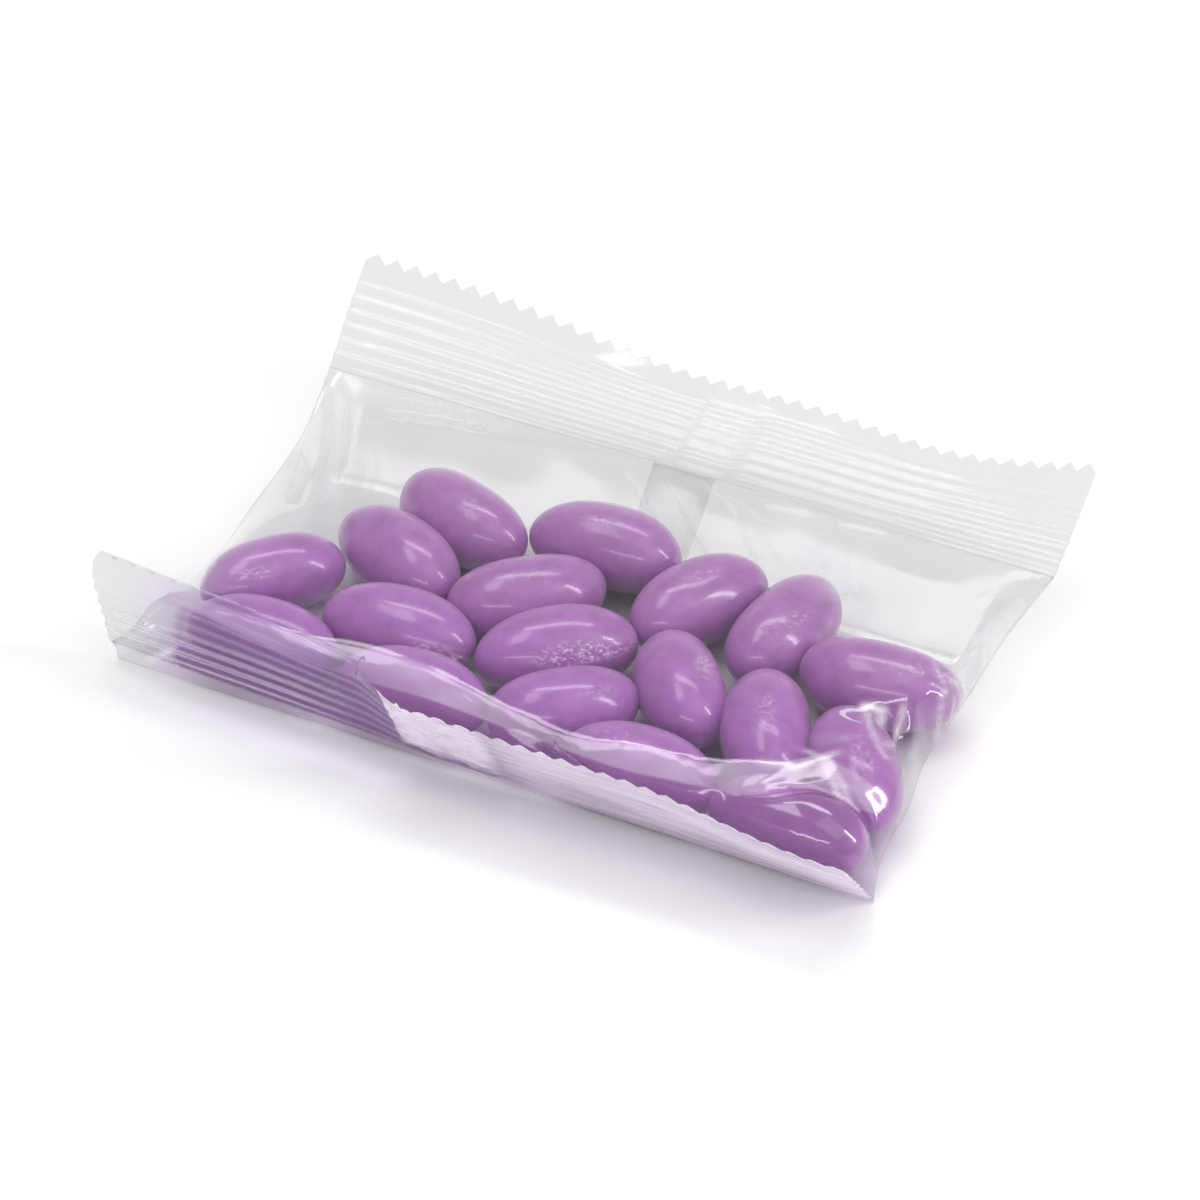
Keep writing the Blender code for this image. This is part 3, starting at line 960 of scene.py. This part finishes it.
def film_material(name, clear, bounce_clear, base_haze, grain, roughness, sheen, through_share):
    """Clear film with painted lavender bounce light, a milky part that also carries painted highlights and
    glare, painted shade in dark purple on the front wall's inside, and a gloss on top.
    """
    n = Nodes(name)
    coords = n.add("ShaderNodeTexCoord")
    # Painted bounce light: the clear film turns lavender near the beans.
    bounce_tint = n.add("ShaderNodeAttribute", attribute_name="bounce_tint")
    see = n.add("ShaderNodeBsdfTransparent")
    n.link(n.mix_colour(bounce_tint.outputs["Fac"], clear, bounce_clear), see.inputs["Color"])
    # Painted shade: on the front wall the clear film turns into a dark purple diffuse sheet, standing in for
    # the shaded beans and gaps behind it.
    painted_shade = n.add("ShaderNodeAttribute", attribute_name="painted_shade")
    shade_sheet = n.add("ShaderNodeBsdfDiffuse", in_Color=PAINTED_SHADE_PURPLE)
    inside = n.mix_shader(painted_shade.outputs["Fac"], see, shade_sheet)
    # The milky share holds real haze and painted highlights on creases, the bevel and rib lines, plus painted
    # glare specks.
    haze_and_highlight = n.add("ShaderNodeAttribute", attribute_name="haze_and_highlight")
    amount = n.maths("ADD", n.maths("ADD", haze_and_highlight.outputs["Fac"], base_haze), glare_speckle(n, coords))
    body = n.mix_shader(amount, inside, milky_film(n, bounce_tint, through_share))
    ripple = n.add("ShaderNodeTexNoise", in_Scale=grain, in_Detail=3.0)
    n.link(coords.outputs["Object"], ripple.inputs["Vector"])
    bump = n.add("ShaderNodeBump", in_Strength=0.14, in_Distance=0.00004)
    n.link(ripple.outputs["Fac"], bump.inputs["Height"])
    gloss = n.add("ShaderNodeBsdfGlossy", in_Roughness=roughness, in_Color=(1, 1, 1, 1))
    n.link(bump.outputs[0], gloss.inputs["Normal"])
    facing = n.add("ShaderNodeLayerWeight", in_Blend=0.5)
    n.link(bump.outputs[0], facing.inputs["Normal"])
    slant = n.maths("POWER", facing.outputs["Facing"], EDGE_SHARPNESS)
    share = n.maths("ADD", n.maths("MULTIPLY", slant, EDGE_GLOSS), sheen)
    full = n.mix_shader(share, body, gloss)
    out = n.add("ShaderNodeOutputMaterial")
    n.link(full.outputs[0], out.inputs["Surface"])
    return n.material


BEAN_PURPLE = (0.49, 0.185, 0.545, 1)
BEAN_DEEP = (0.39, 0.138, 0.435, 1)


def bean_material():
    """Candy shell: two close purples, a soft body and a glossy coat."""
    n = Nodes("candy_shell")
    coords = n.add("ShaderNodeTexCoord")
    mottle = n.add("ShaderNodeTexNoise", in_Scale=420.0, in_Detail=8.0, in_Roughness=0.62)
    n.link(coords.outputs["Object"], mottle.inputs["Vector"])
    ramp = n.add("ShaderNodeValToRGB")
    ramp.color_ramp.elements[0].position = 0.3
    ramp.color_ramp.elements[0].color = BEAN_DEEP
    ramp.color_ramp.elements[1].position = 0.62
    ramp.color_ramp.elements[1].color = BEAN_PURPLE
    n.link(mottle.outputs["Fac"], ramp.inputs["Fac"])
    fine = n.add("ShaderNodeTexNoise", in_Scale=2600.0, in_Detail=2.0)
    n.link(coords.outputs["Object"], fine.inputs["Vector"])
    bump = n.add("ShaderNodeBump", in_Strength=0.18, in_Distance=0.00005)
    n.link(fine.outputs["Fac"], bump.inputs["Height"])
    shader = n.add("ShaderNodeBsdfPrincipled", in_Roughness=0.36, in_IOR=1.5)
    shader.inputs["Coat Weight"].default_value = 0.85
    shader.inputs["Coat Roughness"].default_value = 0.13
    shader.inputs["Sheen Weight"].default_value = 0.22
    shader.inputs["Sheen Roughness"].default_value = 0.4
    shader.inputs["Subsurface Weight"].default_value = 0.12
    shader.inputs["Subsurface Radius"].default_value = (1.0, 0.5, 1.0)
    shader.inputs["Subsurface Scale"].default_value = 0.0015
    n.link(ramp.outputs["Color"], shader.inputs["Base Color"])
    n.link(bump.outputs[0], shader.inputs["Normal"])
    out = n.add("ShaderNodeOutputMaterial")
    n.link(shader.outputs[0], out.inputs["Surface"])
    return n.material


# ---- floor, light and camera -----------------------------------------------------------
CAMERA_TURN = math.radians(25.7)
CAMERA_RISE = math.radians(39.0)
CAMERA_DISTANCE = 0.556
CAMERA_LENS = 137.0
CAMERA_SIDEWAYS = 0.00085  # metres to the right, to frame the bag as the photo does
LAMP_AIM = (0.0, 25.0, 5.0)
WORLD_LIGHT = 0.50
# Name, azimuth, rise, distance in metres, size in metres, power in watts.
LAMPS = (
    ("back_wall", 206, 14, 1.5, (2.0, 0.7), 1.4),
    ("back_strip", 195, 69, 1.1, (0.80, 0.17), 2.8),
    ("top_box", 288, 72, 1.1, (0.5, 0.3), 1.8),
    ("right_box", 75, 62, 1.2, (0.8, 0.8), 1.9),
    ("right_strip", 100, 33, 0.9, (0.08, 0.50), 1.9),
    ("front_strip", 10, 34, 1.0, (0.7, 0.06), 1.1),
)


def camera_axes():
    """Unit vectors from the bag to the camera and to the camera's right."""
    back = Vector((math.sin(CAMERA_TURN) * math.cos(CAMERA_RISE),
                   -math.cos(CAMERA_TURN) * math.cos(CAMERA_RISE), math.sin(CAMERA_RISE)))
    right = Vector((math.cos(CAMERA_TURN), math.sin(CAMERA_TURN), 0))
    return back, right


def make_camera():
    back, right = camera_axes()
    target = Vector(to_frame([0.0, 30.0, 5.0])) + right * CAMERA_SIDEWAYS
    data = bpy.data.cameras.new("camera")
    data.lens = CAMERA_LENS
    data.sensor_width = 36
    camera = bpy.data.objects.new("camera", data)
    camera.location = target + back * CAMERA_DISTANCE
    camera.rotation_euler = back.to_track_quat("Z", "Y").to_euler()
    bpy.context.scene.collection.objects.link(camera)
    bpy.context.scene.camera = camera


def lamp(name, azimuth, rise, distance, size, power):
    """A soft box that looks at the bag. azimuth 0 is in front, 90 at the right, 180 behind."""
    a, r = math.radians(azimuth), math.radians(rise)
    way = Vector((math.sin(a) * math.cos(r), -math.cos(a) * math.cos(r), math.sin(r)))
    data = bpy.data.lights.new(name, "AREA")
    data.shape = "RECTANGLE"
    data.size, data.size_y = size
    data.energy = power
    data.color = (1, 1, 1)
    obj = bpy.data.objects.new(name, data)
    obj.location = Vector(to_frame(LAMP_AIM)) + way * distance
    obj.rotation_euler = way.to_track_quat("Z", "Y").to_euler()
    bpy.context.scene.collection.objects.link(obj)


def make_stage():
    """A white floor, an even sky and the lamps."""
    bpy.ops.mesh.primitive_plane_add(size=4, location=(0, 0, 0))
    floor = bpy.context.object
    floor.name = "floor"
    n = Nodes("paper")
    shader = n.add("ShaderNodeBsdfPrincipled", in_Roughness=0.9)
    shader.inputs["Base Color"].default_value = (0.93, 0.93, 0.93, 1)
    out = n.add("ShaderNodeOutputMaterial")
    n.link(shader.outputs[0], out.inputs["Surface"])
    floor.data.materials.append(n.material)
    world = bpy.data.worlds.new("world")
    bpy.context.scene.world = world
    world.use_nodes = True
    world.node_tree.nodes["Background"].inputs["Color"].default_value = (1, 1, 1, 1)
    world.node_tree.nodes["Background"].inputs["Strength"].default_value = WORLD_LIGHT
    for values in LAMPS:
        lamp(*values)


# ---- build -----------------------------------------------------------------------------
make_camera()
make_stage()
scene = bpy.context.scene
scene.view_settings.view_transform = "Standard"

clear_film = film_material("clear_film", FILM_CLEAR, FILM_BOUNCE_LAVENDER,
                           0.008, 900.0, 0.10, 0.055, 0.5)
seal_film = film_material("seal_film", SEAL_CLEAR, SEAL_BOUNCE_LAVENDER,
                          0.008, 700.0, 0.09, 0.015, 0.2)
film = make_film_body(clear_film)
near_seal = make_seal("near_seal", near_seal_at, near_skirt, seal_film, 3, (-9.5, 3.0), 1.0,
                      near_cloud, near_rib_highlights)
far_seal = make_seal("far_seal", far_seal_at, no_skirt, seal_film, 9, (-1.5, 6.0), 0.1,
                     far_cloud, far_rib_highlights)
back_seam = make_back_seam(seal_film)
beans = make_beans(bean_material())

for piece in (film, near_seal, far_seal, back_seam):
    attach(piece, "root")
    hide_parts("bag")
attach(beans, "root")
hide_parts("bag")
